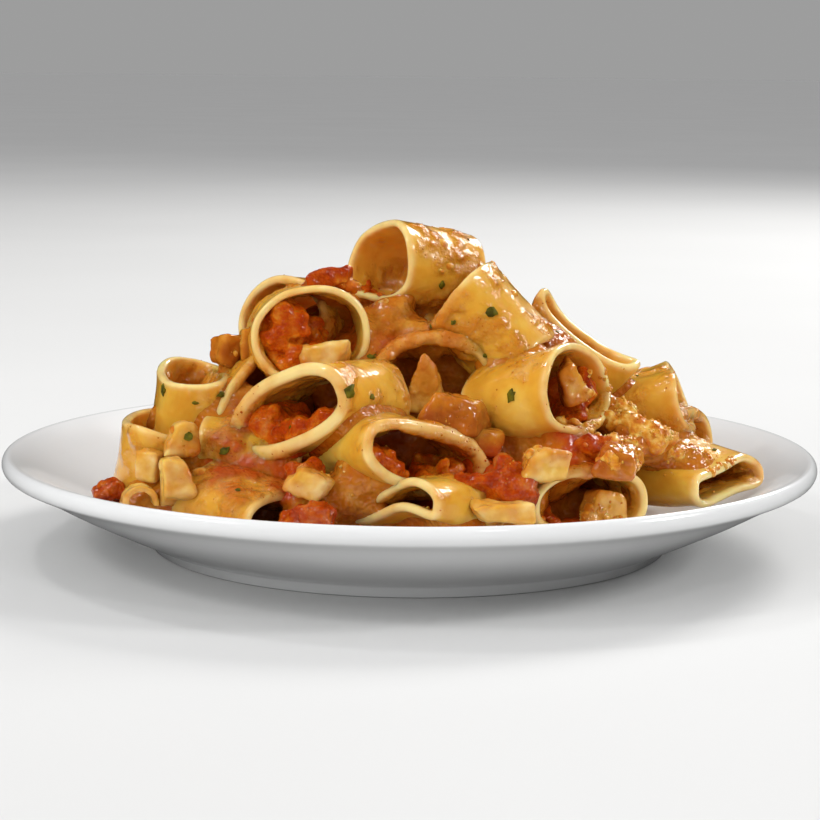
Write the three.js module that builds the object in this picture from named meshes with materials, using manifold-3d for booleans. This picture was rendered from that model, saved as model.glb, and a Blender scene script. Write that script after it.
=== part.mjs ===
// A plate of paccheri: short wide pasta tubes piled on a round white plate, with diced seafood, bits of
// tomato and chopped herb among them. Millimetres, +Z up, origin at the middle of the plate's foot.
import * as THREE from "three";
import { mergeVertices } from "three/addons/utils/BufferGeometryUtils.js";
import Module from "manifold-3d";

const wasm = await Module();
wasm.setup();

// Driving dimensions
const PLATE_RADIUS = 125;
const PLATE_SEGMENTS = 50;
const TUBE_DIAMETER = 29; // cooked pasta, middle of the wall
const TUBE_LENGTH = 32;
const WALL = 2.6;
const TUBE_SIDES = 12;
const BACK_TUBE_SIDES = 10;
const GAP = 0.35; // clear air between separate pieces
const BORE_DEPTH = 0.55; // how far in a bore is open, as a share of the length; sauce fills the rest
const SEED = 11;

const DEG = Math.PI / 180;

const COLOURS = {
  porcelain: { color: 0xf2f2f0, roughness: 0.22 },
  pasta: { color: 0xe0a648, roughness: 0.38 },
  seafood: { color: 0xdba75e, roughness: 0.35 },
  tomato: { color: 0xb5391a, roughness: 0.3 },
};

// The plate's section, as [radius, height]: the underside from the axis out, the rolled rim, the well back in.
const PLATE_SECTION = [
  [0, 2.4],
  [74, 2.4],
  [75.4, 0],
  [79.6, 0],
  [81.6, 3.2],
  [92, 8.1],
  [106, 14.9],
  [117, 21],
  [123.6, 24],
  [PLATE_RADIUS, 26.7],
  [123.4, 29.2],
  [121.6, 29.2],
  [117, 26.8],
  [106, 20.4],
  [92, 13.6],
  [80, 9.8],
  [68, 8.4],
  [56, 8],
  [0, 8],
];
const WELL_SECTION = PLATE_SECTION.slice(11); // the surface that the food lies on

// Paccheri that show from the front. mouth is the centre of the near opening, turn the way it faces, from the
// viewer round to the right, rise how far it looks up, roll how its wide axis leans, flat its two ends' height
// over width, dent and dentAt a dimple in the near lip and where it is, sag how far the middle of a squashed lip
// hangs back from its corners, egg how much taller one side of the opening is than the other.
const FRONT_TUBES = [
  { name: "crown", mouth: [-9.5, -14, 87.5], turn: -48, rise: 18, roll: 15, flat: [0.78, 0.8], size: 0.98, dent: 3, dentAt: -120 },
  { name: "shoulder", mouth: [13, -24, 80.5], turn: -95, rise: 45, roll: 0, flat: [0.75, 0.7], length: 29 },
  { name: "cave", mouth: [7, -44, 55], turn: 4, rise: 4, roll: 0, flat: [0.85, 0.85], size: 1.02 },
  { name: "bigring", mouth: [-27, -42, 70], turn: -8, rise: 6, roll: 8, flat: [0.82, 0.85], length: 28 },
  { name: "ringback", mouth: [-37, -16, 69], turn: -38, rise: 8, roll: 0, flat: [0.85, 0.85] },
  { name: "leftup", mouth: [-64, -30, 56.5], turn: 0, rise: 84, roll: 90, flat: [0.66, 0.75], length: 24, size: 0.92 },
  { name: "leftlow", mouth: [-70, -46, 46], turn: 10, rise: 82, roll: 80, flat: [0.7, 0.8], length: 25, size: 0.94 },
  { name: "baseleft", mouth: [-33, -70, 26], turn: 56, rise: -6, roll: 0, flat: [0.52, 0.6], length: 27, size: 0.9 },
  { name: "oval", mouth: [-35, -66, 51], turn: -38, rise: 6, roll: 25, flat: [0.55, 0.72], length: 34, size: 1.03 },
  { name: "slot", mouth: [5, -74, 38.5], turn: 30, rise: 4, roll: -17, flat: [0.46, 0.72], length: 34 },
  { name: "fold", mouth: [-8, -78, 26.5], turn: -48, rise: 10, roll: 4, flat: [0.3, 0.45], length: 32, size: 0.94 },
  { name: "arch", mouth: [55, -68, 25.5], turn: 14, rise: 2, roll: 0, flat: [0.5, 0.58], length: 30, size: 0.92 },
  { name: "wedge", mouth: [95, -30, 27.5], turn: 56, rise: -8, roll: 10, flat: [0.38, 0.55], length: 33, size: 0.84, egg: 0.35 },
  { name: "horn", mouth: [51, -50, 55.5], turn: 38, rise: 16, roll: 5, flat: [0.68, 0.75], length: 31 },
  { name: "saddle", mouth: [54.5, -14, 69], turn: 76, rise: 55, roll: 90, flat: [0.3, 0.6], size: 0.87, length: 30, sag: 4 },
  { name: "corner", mouth: [82.5, -8, 49], turn: 84, rise: 12, roll: 0, flat: [0.6, 0.65], length: 30, size: 0.96 },
  { name: "lowright", mouth: [86, -8, 33], turn: 60, rise: 8, roll: 0, flat: [0.5, 0.62], length: 30, size: 0.95 },
  { name: "underoval", mouth: [-28, -46, 31], turn: 80, rise: -4, roll: 0, flat: [0.6, 0.7] },
  { name: "lipedge", mouth: [-42, -40, 48], turn: 20, rise: 8, roll: 50, flat: [0.6, 0.7], length: 30 },
];

// The far side's paccheri, in tiers: how many, how far out and how high their middles are, and the arc,
// anticlockwise from the right, that they fill.
const BACK_TIERS = [
  { count: 6, radius: 64, height: 25, arc: [8, 172], rise: 8, flat: [0.55, 0.8] },
  { count: 4, radius: 39, height: 47, arc: [30, 152], rise: 14, flat: [0.6, 0.85] },
  { count: 1, radius: 22, height: 66, arc: [95, 95], rise: 20, flat: [0.65, 0.85] },
];

// The core of sauce that the tubes are bedded in, as [radius, height].
const CORE_SECTION = [
  [0, 8],
  [70, 8],
  [75, 16],
  [70, 27],
  [54, 42],
  [41, 56],
  [27, 70],
  [13, 78],
  [0, 81],
];
const CORE_SEGMENTS = 16;
const CORE_DRIFT = [2, -8]; // the heap leans towards the viewer

// Sauce heaped up under the lumps at the near edge and on the left shoulder.
const SAUCE_MOUNDS = [
  { at: [-65, -60, 24], radius: 11 },
  { at: [-50, -24, 56], radius: 8 },
  { at: [-27, -71, 23], radius: 9 },
  { at: [32, -67, 27], radius: 12 },
  { at: [58, -60, 29], radius: 8 },
];

// Diced seafood: middle, size and turn about the vertical, then lean.
const CHUNKS = [
  { at: [4.5, -43, 54.5], size: [8, 7, 14], turn: 20, lean: 12 },
  { at: [12.5, -58, 48.5], size: [14, 11, 11], turn: -25, lean: 20 },
  { at: [22, -57, 40], size: [8, 7, 7], turn: 10, lean: 0 },
  { at: [37, -74, 37], size: [11.5, 9, 8.5], turn: 15, lean: 10 },
  { at: [-25.5, -41, 62.5], size: [16, 9, 9], turn: -15, lean: -12 },
  { at: [-54.5, -30, 63], size: [7, 8, 8.5], turn: 30, lean: 15 },
  { at: [-47, -28, 65.5], size: [6.5, 7, 8], turn: 10, lean: -10 },
  { at: [-64, -63, 41.5], size: [9, 8, 9.5], turn: 20, lean: 10 },
  { at: [-65.5, -71, 31.5], size: [7.5, 9, 11], turn: 24, lean: -10 },
  { at: [-74, -64, 34], size: [6, 7, 8], turn: -20, lean: 8 },
  { at: [26, -84, 25.5], size: [14, 7, 6], turn: 6, lean: -6 },
  { at: [-27, -78, 32], size: [13, 8, 7.5], turn: -12, lean: 24 },
  { at: [46.5, -46, 56], size: [6, 7, 11.5], turn: 20, lean: -25 },
  { at: [55, -61, 23], size: [10, 9, 8], turn: 30, lean: 10 },
  { at: [58.5, -68, 37.5], size: [10, 8, 7], turn: -20, lean: 6 },
];

const TOMATO = [
  { at: [-85.5, -61, 25.5], size: [10, 8, 6], turn: 20, lean: -10 },
  { at: [26.5, -73, 34], size: [7.5, 8, 11.5], turn: 0, lean: 8 },
  { at: [-26, -83.5, 23.9], size: [9, 7, 6], turn: 10, lean: 0 },
  { at: [-24.5, -28, 85.5], size: [14, 9, 5], turn: 10, lean: -8 },
];

// A curl of squid standing on the near left edge: middle of the arc, radii, depth and turn.
const CURL = { at: [-75.5, -71, 24.8], outer: 5.2, inner: 3.4, depth: 6, turn: 15, arc: [-10, 190], steps: 9 };

// Chopped herb: where each flake lies, and the way its face looks.
const HERBS = [
  { at: [-19, -62, 55], face: [0.2, -0.8, 0.5] },
  { at: [28, -42, 69], face: [0.3, -0.8, 0.5] },
  { at: [33.5, -59, 52], face: [-0.3, -0.9, 0.1] },
  { at: [-51, -65, 38], face: [-0.2, -0.9, 0.4] },
];
const HERB_SIZE = [4.4, 3, 0.9];

// Repeatable draws from 0 to 1.
function drawsFrom(seed) {
  let state = seed;
  return () => {
    state = (state + 0x6d2b79f5) | 0;
    let mixed = Math.imul(state ^ (state >>> 15), 1 | state);
    mixed = (mixed + Math.imul(mixed ^ (mixed >>> 7), 61 | mixed)) ^ mixed;
    return ((mixed ^ (mixed >>> 14)) >>> 0) / 4294967296;
  };
}

function mix(a, b, share) {
  return a + (b - a) * share;
}

// Half width and half height of an oval with that height over width and the round tube's circumference.
function ovalAxes(flat, circumference) {
  const h = ((1 - flat) / (1 + flat)) ** 2;
  const half = circumference / (Math.PI * (1 + flat) * (1 + (3 * h) / (10 + Math.sqrt(4 - 3 * h))));
  return [half, half * flat];
}

// A tube's own directions: the way its mouth faces, its wide axis and its narrow axis.
function tubeAxes({ turn, rise, roll }) {
  const out = new THREE.Vector3(
    Math.cos(rise * DEG) * Math.sin(turn * DEG),
    -Math.cos(rise * DEG) * Math.cos(turn * DEG),
    Math.sin(rise * DEG),
  );
  const side = new THREE.Vector3(Math.cos(turn * DEG), Math.sin(turn * DEG), 0);
  const up = new THREE.Vector3().crossVectors(side, out).negate();
  const wide = side.clone().multiplyScalar(Math.cos(roll * DEG)).addScaledVector(up, Math.sin(roll * DEG));
  const narrow = up.clone().multiplyScalar(Math.cos(roll * DEG)).addScaledVector(side, -Math.sin(roll * DEG));
  return { out, wide, narrow };
}

// One ring of a tube at share t of its length, moved out from the middle of the wall by offset.
function tubeRing(tube, t, offset) {
  const { out, wide, narrow } = tubeAxes(tube);
  const ease = Math.min(1, Math.max(0, t)) ** 2 * (3 - 2 * Math.min(1, Math.max(0, t)));
  const [half, low] = ovalAxes(
    mix(tube.flat[0], tube.flat[1], ease),
    Math.PI * TUBE_DIAMETER * (tube.size ?? 1),
  );
  const length = tube.length ?? TUBE_LENGTH;
  const fullness = 2 / (2 + 0.9 * (1 - low / half)); // a squashed tube is fuller at its corners than an oval
  const bent = (v) => Math.sign(v) * Math.abs(v) ** fullness;
  const sides = tube.sides ?? TUBE_SIDES;
  return Array.from({ length: sides }, (_, i) => {
    const angle = (2 * Math.PI * (i + 0.5)) / sides;
    const bearing = ((angle - (tube.dentAt ?? 90) * DEG + 3 * Math.PI) % (2 * Math.PI)) - Math.PI;
    const dent = (tube.dent ?? 0) * (1 - ease) * Math.exp(-((bearing / 0.6) ** 2));
    const sag = (tube.sag ?? 0) * (1 - ease) * Math.sin(angle) ** 2;
    const taller = 1 + (tube.egg ?? 0) * (1 - ease) * Math.cos(angle);
    return new THREE.Vector3(...tube.mouth)
      .addScaledVector(out, -length * t - sag)
      .addScaledVector(wide, (half + offset - dent) * bent(Math.cos(angle)))
      .addScaledVector(narrow, (low * taller + offset - dent) * bent(Math.sin(angle)));
  });
}

// A closed solid from rings, with a fan over each end.
function solidFromCappedRings(rings) {
  const sides = rings[0].length;
  const points = rings.flat();
  const middle = (ring) => ring.reduce((sum, p) => sum.add(p), new THREE.Vector3()).divideScalar(sides);
  const first = points.length;
  points.push(middle(rings[0]), middle(rings.at(-1)));
  const position = points.flatMap((p) => [p.x, p.y, p.z]);
  const index = [];
  const last = (rings.length - 1) * sides;
  for (let i = 0; i < sides; i++) {
    const j = (i + 1) % sides;
    for (let r = 0; r < rings.length - 1; r++) {
      const [a, b, c, d] = [r * sides + i, r * sides + j, (r + 1) * sides + j, (r + 1) * sides + i];
      index.push(a, c, b, a, d, c);
    }
    index.push(first, i, j, first + 1, last + j, last + i);
  }
  return outward(position, index);
}

// A solid whose faces point out, whichever way round its triangles were given.
function outward(position, index) {
  const vertProperties = new Float32Array(position);
  const made = new wasm.Manifold(new wasm.Mesh({ numProp: 3, vertProperties, triVerts: new Uint32Array(index) }));
  if (made.volume() > 0) return made;
  const turned = [];
  for (let i = 0; i < index.length; i += 3) turned.push(index[i], index[i + 2], index[i + 1]);
  return new wasm.Manifold(new wasm.Mesh({ numProp: 3, vertProperties, triVerts: new Uint32Array(turned) }));
}

function solidFromGeometry(geometry) {
  const bare = geometry.clone().deleteAttribute("normal").deleteAttribute("uv");
  const merged = mergeVertices(bare, 1e-3);
  return outward([...merged.attributes.position.array], [...merged.index.array]);
}

function turned(section, segments) {
  return new THREE.LatheGeometry(
    section.map(([radius, height]) => new THREE.Vector2(radius, height)),
    segments,
  ).rotateX(Math.PI / 2);
}

// The hollow at a tube's mouth, from that share of its length outside it, and the tube itself round it.
function boreSolid(tube, before = 0.08) {
  return solidFromCappedRings([-before, BORE_DEPTH].map((t) => tubeRing(tube, t, -WALL / 2)));
}

function tubeSolid(tube) {
  return solidFromCappedRings([0, 0.5, 1].map((t) => tubeRing(tube, t, WALL / 2))).subtract(boreSolid(tube));
}

// The far side's tubes, each facing outwards more or less, from one seeded row of draws.
function backTubes() {
  const draw = drawsFrom(SEED);
  return BACK_TIERS.flatMap(({ count, radius, height, arc, rise, flat }) =>
    Array.from({ length: count }, (_, i) => {
      const bearing = mix(arc[0], arc[1], count > 1 ? i / (count - 1) : 0);
      const turn = bearing + 90 + mix(-38, 38, draw());
      const tube = {
        turn,
        rise: mix(-rise, rise, draw()),
        roll: mix(-25, 25, draw()),
        flat: [mix(flat[0], flat[1], draw()), mix(flat[0], flat[1], draw())],
        size: mix(0.92, 1.03, draw()),
        length: TUBE_LENGTH * mix(0.88, 1.04, draw()),
        sides: BACK_TUBE_SIDES,
      };
      const { out } = tubeAxes(tube);
      const middle = new THREE.Vector3(
        radius * Math.cos(bearing * DEG),
        radius * Math.sin(bearing * DEG),
        height + mix(-1.5, 1.5, draw()),
      );
      tube.mouth = middle.addScaledVector(out, tube.length / 2).toArray();
      return tube;
    }),
  );
}

// A lump with soft corners: a ball of triangles pushed towards a block of that size.
function lumpSolid({ at, size, turn, lean }, extra = 0, blockiness = 0.62) {
  const ball = new THREE.IcosahedronGeometry(1, 1);
  const position = ball.attributes.position;
  for (let i = 0; i < position.count; i++) {
    const p = new THREE.Vector3().fromBufferAttribute(position, i);
    const pushed = p.toArray().map((v) => Math.sign(v) * Math.abs(v) ** blockiness);
    const [x, y, z] = pushed.map((v, k) => v * (size[k] / 2 + extra));
    position.setXYZ(i, x, y, z);
  }
  ball.rotateY(lean * DEG).rotateZ(turn * DEG).translate(...at);
  return solidFromGeometry(ball);
}

// A bent strip, as rings of four corners that follow an arc standing on the table.
function curlSolid({ at, outer, inner, depth, turn, arc, steps }, extra = 0) {
  const rings = Array.from({ length: steps }, (_, i) => {
    const angle = mix(arc[0] - extra * 8, arc[1] + extra * 8, i / (steps - 1)) * DEG;
    const corner = (radius, y) =>
      new THREE.Vector3(radius * Math.cos(angle), y, radius * Math.sin(angle))
        .applyAxisAngle(new THREE.Vector3(0, 0, 1), turn * DEG)
        .add(new THREE.Vector3(...at));
    const [near, far] = [-depth / 2 - extra, depth / 2 + extra];
    return [
      corner(outer + extra, near),
      corner(outer + extra, far),
      corner(inner - extra, far),
      corner(inner - extra, near),
    ];
  });
  return solidFromCappedRings(rings);
}

function herbSolid({ at, face }) {
  const flake = new THREE.BoxGeometry(...HERB_SIZE);
  const look = new THREE.Quaternion().setFromUnitVectors(
    new THREE.Vector3(0, 0, 1),
    new THREE.Vector3(...face).normalize(),
  );
  return solidFromGeometry(flake.applyQuaternion(look).translate(...at));
}

// The largest piece of a solid, with sealed hollows in it filled and loose scraps dropped.
function wholePiece(solid) {
  return solid.decompose().reduce((best, piece) => (piece.volume() > best.volume() ? piece : best));
}

function joined(solids) {
  return solids.reduce((sum, solid) => sum.add(solid));
}

// Everything at and under the plate's well, raised by the gap, which the food stays out of.
function plateKeepOut() {
  const raised = WELL_SECTION.map(([radius, height]) => [radius, height + GAP]);
  const below = [[0, -20], [PLATE_RADIUS, -20], [PLATE_RADIUS, raised[0][1]]];
  return solidFromGeometry(turned([...below, ...raised], PLATE_SEGMENTS));
}

function heapSolid() {
  const tubes = [...FRONT_TUBES, ...backTubes()];
  const bores = tubes.map((tube) => boreSolid(tube, 0.5));
  const core = solidFromGeometry(turned(CORE_SECTION, CORE_SEGMENTS).translate(...CORE_DRIFT, 0));
  const lumps = [...CHUNKS, ...TOMATO];
  const mounds = SAUCE_MOUNDS.map(({ at, radius }) =>
    solidFromGeometry(new THREE.IcosahedronGeometry(radius, 1).translate(...at)),
  );
  const sauce = core.add(joined(mounds)).subtract(joined(bores));
  const bedded = sauce.add(joined([...tubes.map(tubeSolid), ...HERBS.map(herbSolid)]));
  const keepOut = joined([...lumps.map((lump) => lumpSolid(lump, GAP)), curlSolid(CURL, GAP)]);
  return wholePiece(bedded.subtract(keepOut).subtract(plateKeepOut()).simplify(0.1));
}

function geometryFromSolid(solid) {
  const { numProp, vertProperties, triVerts } = solid.getMesh();
  const position = new Float32Array((vertProperties.length / numProp) * 3);
  for (let i = 0; i < position.length / 3; i++) {
    position.set(vertProperties.subarray(i * numProp, i * numProp + 3), i * 3);
  }
  const geometry = new THREE.BufferGeometry();
  geometry.setAttribute("position", new THREE.BufferAttribute(position, 3));
  geometry.setIndex(new THREE.BufferAttribute(triVerts, 1));
  return geometry;
}

function piece(name, geometry, colour) {
  const material = new THREE.MeshStandardMaterial({ ...COLOURS[colour], metalness: 0 });
  const mesh = new THREE.Mesh(geometry, material);
  mesh.name = name;
  return mesh;
}

function numbered(name, i) {
  return `${name}_${String(i + 1).padStart(2, "0")}`;
}

const dish = new THREE.Group();
dish.add(piece("plate", turned(PLATE_SECTION, PLATE_SEGMENTS), "porcelain"));
dish.add(piece("paccheri_heap", geometryFromSolid(heapSolid()), "pasta"));
CHUNKS.forEach((chunk, i) => {
  dish.add(piece(numbered("chunk", i), geometryFromSolid(lumpSolid(chunk)), "seafood"));
});
dish.add(piece("curl", geometryFromSolid(curlSolid(CURL)), "seafood"));
TOMATO.forEach((lump, i) => {
  dish.add(piece(numbered("tomato", i), geometryFromSolid(lumpSolid(lump)), "tomato"));
});

export default dish;
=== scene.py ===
import math
import random

import bmesh
import bpy
import numpy as np
from mathutils import Matrix, Vector
from mathutils.bvhtree import BVHTree


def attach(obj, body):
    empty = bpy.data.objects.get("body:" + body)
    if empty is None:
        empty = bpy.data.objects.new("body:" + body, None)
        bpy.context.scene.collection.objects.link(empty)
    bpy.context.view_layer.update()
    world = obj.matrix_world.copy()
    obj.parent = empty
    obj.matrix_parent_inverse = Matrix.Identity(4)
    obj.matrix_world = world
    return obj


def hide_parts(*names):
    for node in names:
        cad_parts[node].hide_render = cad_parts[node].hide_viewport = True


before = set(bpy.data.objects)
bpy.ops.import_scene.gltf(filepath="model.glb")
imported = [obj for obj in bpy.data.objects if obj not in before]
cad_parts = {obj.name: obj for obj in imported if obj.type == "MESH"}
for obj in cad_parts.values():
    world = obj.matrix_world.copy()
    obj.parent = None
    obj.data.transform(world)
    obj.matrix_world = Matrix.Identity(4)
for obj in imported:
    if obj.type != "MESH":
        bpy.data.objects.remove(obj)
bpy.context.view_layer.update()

mm = 0.001
print("frame loaded, nodes:", len(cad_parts))


class Named(dict):
    # a dictionary whose values are also read with a dot
    __getattr__ = dict.__getitem__


def table(columns, *lines):
    # one dictionary for each line
    return [Named(zip(columns.split(), line)) for line in lines]


# shader building

class Look:
    # a material or the world, with short ways to add nodes to it
    def __init__(self, name, kind="Material", shader="BsdfPrincipled"):
        self.data = getattr(bpy.data, kind.lower() + "s").new(name)
        self.data.use_nodes = True
        self.tree = self.data.node_tree
        self.tree.nodes.clear()
        self.shader = self.add(shader)
        self.add("Output" + kind, {0: self.shader.outputs[0]})

    def add(self, kind, inputs=None, **settings):
        node = self.tree.nodes.new("ShaderNode" + kind)
        for key, value in settings.items():
            setattr(node, key, value)
        self.fill(node, inputs or {})
        return node

    def fill(self, node, inputs):
        # numbers, colours or other nodes' outputs into its sockets
        for key, value in inputs.items():
            if isinstance(value, (int, float, list)):
                node.inputs[key].default_value = value
            elif isinstance(value, tuple):
                node.inputs[key].default_value = (*value, 1)
            else:
                self.tree.links.new(value, node.inputs[key])

    def surface(self, inputs):
        self.fill(self.shader, inputs)

    def noise(self, size, detail=3, roughness=0.55):
        # features about size millimetres across, on the piece's own coordinates
        place = self.add("TexCoord").outputs["Object"]
        inputs = {"Vector": place, "Scale": 1000 / size, "Detail": detail, "Roughness": roughness}
        return self.add("TexNoise", inputs).outputs["Fac"]

    def attribute(self, name):
        return self.add("Attribute", attribute_name=name).outputs["Fac"]

    def ramp(self, value, *stops):
        node = self.add("ValToRGB", {"Fac": value})
        elements = node.color_ramp.elements
        while len(elements) < len(stops):
            elements.new(0.5)
        for element, (at, colour) in zip(elements, stops):
            element.position = at
            element.color = (*colour, 1)
        return node.outputs["Color"]

    def plus(self, a, b):
        return self.add("Math", {0: a, 1: b}, operation="ADD").outputs[0]

    def times(self, a, b):
        return self.add("Math", {0: a, 1: b}, operation="MULTIPLY").outputs[0]

    def between(self, value, low, high):
        # 0 on low's side, 1 on high's side, smooth between
        inputs = {"Value": value, "From Min": low, "From Max": high}
        return self.add("MapRange", inputs, interpolation_type="SMOOTHSTEP").outputs["Result"]

    def blend(self, share, a, b, kind="MIX"):
        return self.add("Mix", {0: share, 6: a, 7: b}, data_type="RGBA", blend_type=kind).outputs[2]

    def lumps(self, fine, coarse, share):
        return self.plus(self.noise(fine, 1, 0.5), self.times(self.noise(coarse, 2), share))

    def bump(self, height, depth):
        # relief of depth millimetres for a height of 1, on the flesh and on the wet coat over it
        relief = self.add("Bump", {"Strength": 1, "Distance": depth * mm, "Height": height}).outputs[0]
        self.surface({"Normal": relief, "Coat Normal": relief})

    def wet(self, subsurface, radius, specular, roughness, coat=0.9, coatRoughness=0.06):
        # light goes some millimetres into the flesh, and a wet coat lies over it
        self.surface({
            "Subsurface Weight": subsurface, "Subsurface Radius": [r * mm for r in radius],
            "Subsurface Scale": 1, "Specular IOR Level": specular, "Roughness": roughness,
            "Coat Weight": coat, "Coat Roughness": coatRoughness, "Coat IOR": 1.45})


# the sauce's colours; the last one is painted shade, multiplied in where the heap closes over the food
sauceTone = Named(
    thin=(0.57, 0.19, 0.011), middle=(0.50, 0.125, 0.005), thick=(0.33, 0.058, 0.003),
    red=(0.46, 0.045, 0.002), cream=(0.69, 0.34, 0.042), shade=(0.38, 0.16, 0.06))


def sauceColours(look, amount):
    # orange-brown and oily, darker where it is deep, red where the tomato is
    tone = sauceTone
    light = look.ramp(look.noise(9, 5, 0.6), (0.38, tone.middle), (0.54, tone.thin), (0.74, tone.cream))
    deep = look.blend(look.between(amount, 0.7, 2.6), light, tone.thick)
    mottled = look.times(look.attribute("red"), look.times(look.noise(6, 4, 0.6), 2.1))
    return look.blend(look.between(mottled, 0.2, 0.9), deep, tone.red)


def paintWithShade(look, colour):
    # the colour, with painted shade: multiplied darker and browner where the heap closes over the food and
    # little light gets in
    share = look.between(look.attribute("shelter"), 0.62, 1.0)
    look.surface({"Base Color": look.blend(share, colour, sauceTone.shade, "MULTIPLY")})


def coatedMaterial(name, flesh, stained, lip, cloud, radius, relief):
    # food with sauce over part of it: the sauce value is its depth in millimetres, below 0 where bare
    look = Look(name)
    look.wet(0.5, radius, 0.2, 0.34)
    ragged = look.times(look.plus(look.noise(3.2, 4, 0.6), -0.5), 0.9)
    amount = look.plus(look.attribute("sauce"), ragged)
    cover = look.between(amount, -0.5, 1.0)
    # the cut ends are paler and creamier: painted light, for the light that the thin rounded lips catch and
    # let through
    plain = look.blend(look.times(look.attribute("lip"), 0.65), look.ramp(look.noise(cloud), *flesh), lip)
    bare = look.blend(look.times(look.between(amount, -1.9, 0.2), 0.75), plain, stained)
    # sauce over the bare flesh, then painted shade where the heap closes over the food
    paintWithShade(look, look.blend(look.times(cover, 0.9), bare, sauceColours(look, amount)))
    look.surface({"Roughness": look.plus(0.34, look.times(cover, -0.1))})
    grainy = look.times(look.plus(cover, 0.16), look.lumps(1.9, 5.5, 1.9))
    look.bump(look.plus(grainy, look.times(cover, 0.35)), relief)
    return look.data


def sauceMaterial():
    look = Look("sauce_glaze")
    look.wet(0.2, (3, 1.2, 0.4), 0.2, 0.26)
    depth = look.times(look.noise(7, 4, 0.6), 1.8)
    # the sauce is deeper and darker where the heap closes over it: partly pooled sauce, partly painted shade;
    # then more painted shade on top
    paintWithShade(look, sauceColours(look, look.plus(depth, look.times(look.attribute("shelter"), 1.4))))
    look.bump(look.lumps(2.0, 5.5, 2.4), 0.8)
    return look.data


def pulpMaterial():
    # painted light: darker in the open than inside the tubes, so the pulp in the tubes' shade looks brightly
    # lit
    look = Look("tomato_pulp")
    look.wet(0.2, (3, 0.9, 0.3), 0.1, 0.3)
    flesh = look.ramp(
        look.noise(5, 5, 0.65), (0.32, (0.34, 0.032, 0.001)), (0.47, (0.54, 0.08, 0.002)),
        (0.60, (0.68, 0.17, 0.006)), (0.74, (0.78, 0.36, 0.04)))
    # painted light: the pulp is darkened in the open and left bright where the heap closes over it
    inTheOpen = look.between(look.attribute("shelter"), 0.5, 0.1)
    look.surface({"Base Color": look.blend(inTheOpen, flesh, (0.74, 0.52, 0.36), "MULTIPLY")})
    look.bump(look.lumps(1.1, 3.6, 2.0), 0.45)
    return look.data


def minceMaterial():
    look = Look("minced_in_sauce")
    look.wet(0.3, (2, 1, 0.4), 0.2, 0.35)
    golden = look.ramp(
        look.noise(2.6), (0.38, (0.58, 0.16, 0.008)), (0.52, (0.72, 0.31, 0.025)),
        (0.68, (0.88, 0.58, 0.15)))
    # golden and red mince, then painted shade where the heap closes over it
    paintWithShade(look, look.blend(look.between(look.attribute("red"), 0.35, 1.1), golden, (0.56, 0.09, 0.003)))
    look.bump(look.noise(0.9, 1), 0.2)
    return look.data


def herbMaterial():
    look = Look("chopped_herb")
    look.wet(0.1, (0.8, 0.8, 0.2), 0.15, 0.5, coat=0.05, coatRoughness=0.25)
    leaf = look.ramp(
        look.noise(2.2), (0.35, (0.06, 0.05, 0.002)), (0.52, (0.13, 0.115, 0.004)),
        (0.7, (0.22, 0.17, 0.01)))
    look.surface({"Base Color": leaf})
    look.bump(look.noise(0.8, 2), 0.25)
    return look.data


def porcelainMaterial():
    look = Look("white_porcelain")
    glaze = look.ramp(look.noise(50, 2), (0.3, (0.82, 0.825, 0.825)), (0.7, (0.85, 0.855, 0.855)))
    look.surface({"Base Color": glaze, "Roughness": 0.2, "Coat Weight": 0.4, "Coat Roughness": 0.08})
    look.bump(look.noise(16, 2), 0.02)
    return look.data


def floorMaterial():
    look = Look("pale_floor")
    tone = look.ramp(look.noise(300, 2), (0.3, (0.67, 0.67, 0.665)), (0.7, (0.69, 0.69, 0.685)))
    look.surface({"Base Color": tone, "Roughness": 0.8, "Specular IOR Level": 0.1})
    return look.data


# lip is the colour of the cut ends, its paleness painted light on the rounded lips
pasta = coatedMaterial(
    "cooked_pasta", [(0.3, (0.73, 0.37, 0.033)), (0.5, (0.80, 0.46, 0.052)), (0.7, (0.84, 0.55, 0.10))],
    stained=(0.68, 0.29, 0.018), lip=(0.92, 0.76, 0.38), cloud=14, radius=(4.5, 2.4, 0.9), relief=0.75)
seafood = coatedMaterial(
    "diced_seafood", [(0.3, (0.76, 0.44, 0.055)), (0.5, (0.87, 0.62, 0.16)), (0.7, (0.92, 0.77, 0.36))],
    stained=(0.66, 0.27, 0.02), lip=(0.88, 0.70, 0.28), cloud=6, radius=(4.0, 2.2, 0.9), relief=0.3)
sauce = sauceMaterial()
pulp = pulpMaterial()
mince = minceMaterial()
herb = herbMaterial()
porcelain = porcelainMaterial()
print("materials made")


# what every piece uses

def placed(name, data):
    thing = bpy.data.objects.new(name, data)
    bpy.context.collection.objects.link(thing)
    return thing


def addPiece(name, mesh, material, stands="paccheri_heap"):
    mesh.materials.clear()
    mesh.materials.append(material)
    mesh.polygons.foreach_set("use_smooth", [True] * len(mesh.polygons))
    piece = placed(name, mesh)
    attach(piece, "root")
    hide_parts(stands)
    print(name, len(mesh.polygons), "faces")
    return piece


def meshFrom(bm, name):
    mesh = bpy.data.meshes.new(name)
    bm.to_mesh(mesh)
    bm.free()
    return mesh


def closedMesh(bm, name):
    bmesh.ops.recalc_face_normals(bm, faces=bm.faces)
    return meshFrom(bm, name)


def allVectors(items, key):
    flat = np.empty(len(items) * 3, dtype=np.float32)
    items.foreach_get(key, flat)
    return flat.reshape(-1, 3).astype(np.float64)


def meshPoints(mesh):
    return allVectors(mesh.vertices, "co") / mm


def meshNormals(mesh):
    return allVectors(mesh.vertex_normals, "vector")


def setPoints(mesh, points):
    mesh.vertices.foreach_set("co", np.asarray(points * mm, dtype=np.float32).ravel())
    mesh.update()


def addValues(mesh, **values):
    # a number for every point, which the materials read by its name
    for name, numbers in values.items():
        layer = mesh.attributes.new(name, "FLOAT", "POINT")
        layer.data.foreach_set("value", np.asarray(numbers, dtype=np.float32))


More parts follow.
